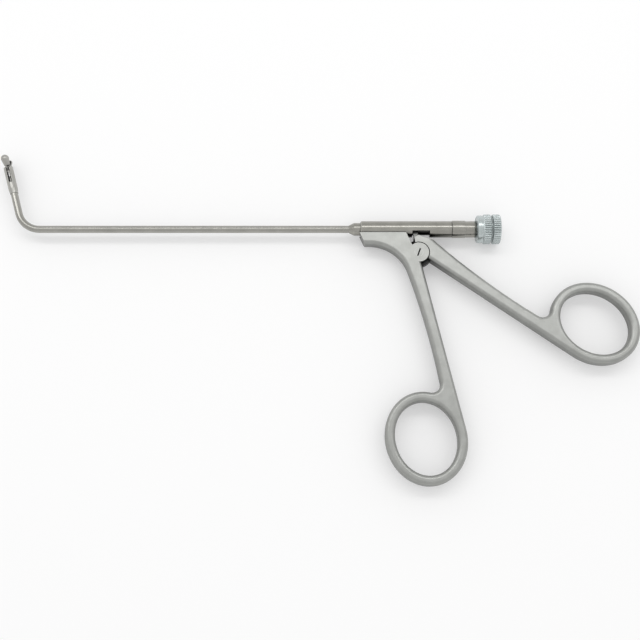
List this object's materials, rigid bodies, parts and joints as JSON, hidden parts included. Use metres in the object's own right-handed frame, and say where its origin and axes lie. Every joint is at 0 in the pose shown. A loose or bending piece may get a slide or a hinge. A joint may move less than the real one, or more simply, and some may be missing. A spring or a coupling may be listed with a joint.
{
  "type": "biopsy forceps",
  "caption": "Ring-handled biopsy forceps with a long slim tube bent up at its end, small double-action cup jaws and a knurled flush-port cap.",
  "frame": {"origin": "on the handles' pivot axis, at the lower flat face of the handles", "axes": "+X along the straight tube from the jaws towards the flush port, +Y from the finger rings up to the tube, +Z through the handles' thickness, out of the face that carries the pivot screw's slot"},
  "size_m": [0.2204, 0.1156, 0.0103],
  "materials": {
    "handle_steel": "satin, fine blasted grain",
    "housing_steel": "satin, drawn along the tube",
    "shaft_steel": "satin, drawn along the tube",
    "port_steel": "turned, half matt",
    "jaw_steel": "half matt",
    "pin_steel": "polished",
    "slider_steel": "fine turned, oiled dark",
    "cable_steel": "stranded wire",
    "seal_rubber": "smooth black silicone"
  },
  "bodies": {
    "handle_and_shaft": {"front_handle": "handle_steel", "pivot_screw": "handle_steel", "housing_tube": "housing_steel", "shaft_ferrule": "housing_steel", "shaft_tube": "shaft_steel", "port_sleeve": "housing_steel", "luer_port": "port_steel", "jaw_fork": "jaw_steel", "jaw_hinge_pin": "pin_steel", "pull_cable": "cable_steel"},
    "thumb_handle": {"rear_handle": "handle_steel"},
    "drive": {"drive_slider": "slider_steel", "slider_o_rings": "seal_rubber", "pull_rod": "shaft_steel", "cable_crimp": "pin_steel", "rod_set_screw": "pin_steel"},
    "yoke": {"pull_yoke": "jaw_steel", "yoke_pin": "pin_steel"},
    "near_cup": {"near_jaw": "jaw_steel", "near_tail_pin": "pin_steel"},
    "far_cup": {"far_jaw": "jaw_steel", "far_tail_pin": "pin_steel"},
    "near_bar": {"near_link": "jaw_steel"},
    "far_bar": {"far_link": "jaw_steel"},
    "seal": {"cap_seal": "seal_rubber"},
    "cap": {"flush_cap": "port_steel", "cap_plug": "port_steel"}
  },
  "joints": [
    {"name": "handle_hinge", "type": "hinge", "parent": "handle_and_shaft", "child": "thumb_handle", "pos_m": [0, 0, 0.0025], "axis": [0, 0, -1], "range_deg": [0, 13.05]},
    {"name": "drive_slide", "type": "slide", "parent": "handle_and_shaft", "child": "drive", "axis": [1, 0, 0], "range_m": [0, 0.00171], "deforming": ["pull_cable"]},
    {"name": "yoke_slide", "type": "slide", "parent": "handle_and_shaft", "child": "yoke", "axis": [0.284, -0.9588, 0], "range_m": [0, 0.00171], "deforming": ["pull_cable"]},
    {"name": "near_jaw_hinge", "type": "hinge", "parent": "handle_and_shaft", "child": "near_cup", "pos_m": [-0.14405, 0.03154, 0.0025], "axis": [-0.9588, -0.284, 0], "range_deg": [0, 28]},
    {"name": "far_jaw_hinge", "type": "hinge", "parent": "handle_and_shaft", "child": "far_cup", "pos_m": [-0.14405, 0.03154, 0.0025], "axis": [0.9588, 0.284, 0], "range_deg": [0, 28]},
    {"name": "near_link_hinge", "type": "hinge", "parent": "yoke", "child": "near_bar", "pos_m": [-0.14295, 0.02784, 0.0025], "axis": [0.9588, 0.284, 0], "range_deg": [0, 28]},
    {"name": "far_link_hinge", "type": "hinge", "parent": "yoke", "child": "far_bar", "pos_m": [-0.14295, 0.02784, 0.0025], "axis": [-0.9588, -0.284, 0], "range_deg": [0, 28]},
    {"name": "cap_travel", "type": "slide", "parent": "handle_and_shaft", "child": "seal", "axis": [1, 0, 0], "range_m": [0, 0.005]},
    {"name": "cap_turn", "type": "hinge", "parent": "seal", "child": "cap", "pos_m": [0.0284, 0.0091, 0.0025], "axis": [1, 0, 0], "range_deg": [0, 360]}
  ],
  "couplings": [
    {"joint": "drive_slide", "follows": "handle_hinge", "m_per_rad": 0.0074935},
    {"joint": "yoke_slide", "follows": "handle_hinge", "m_per_rad": 0.0074935},
    {"joint": "near_jaw_hinge", "follows": "handle_hinge", "ratio": 2.1461},
    {"joint": "far_jaw_hinge", "follows": "handle_hinge", "ratio": 2.1461},
    {"joint": "near_link_hinge", "follows": "handle_hinge", "ratio": 2.1461},
    {"joint": "far_link_hinge", "follows": "handle_hinge", "ratio": 2.1461},
    {"joint": "cap_turn", "follows": "cap_travel", "rad_per_m": 1256.6}
  ]
}
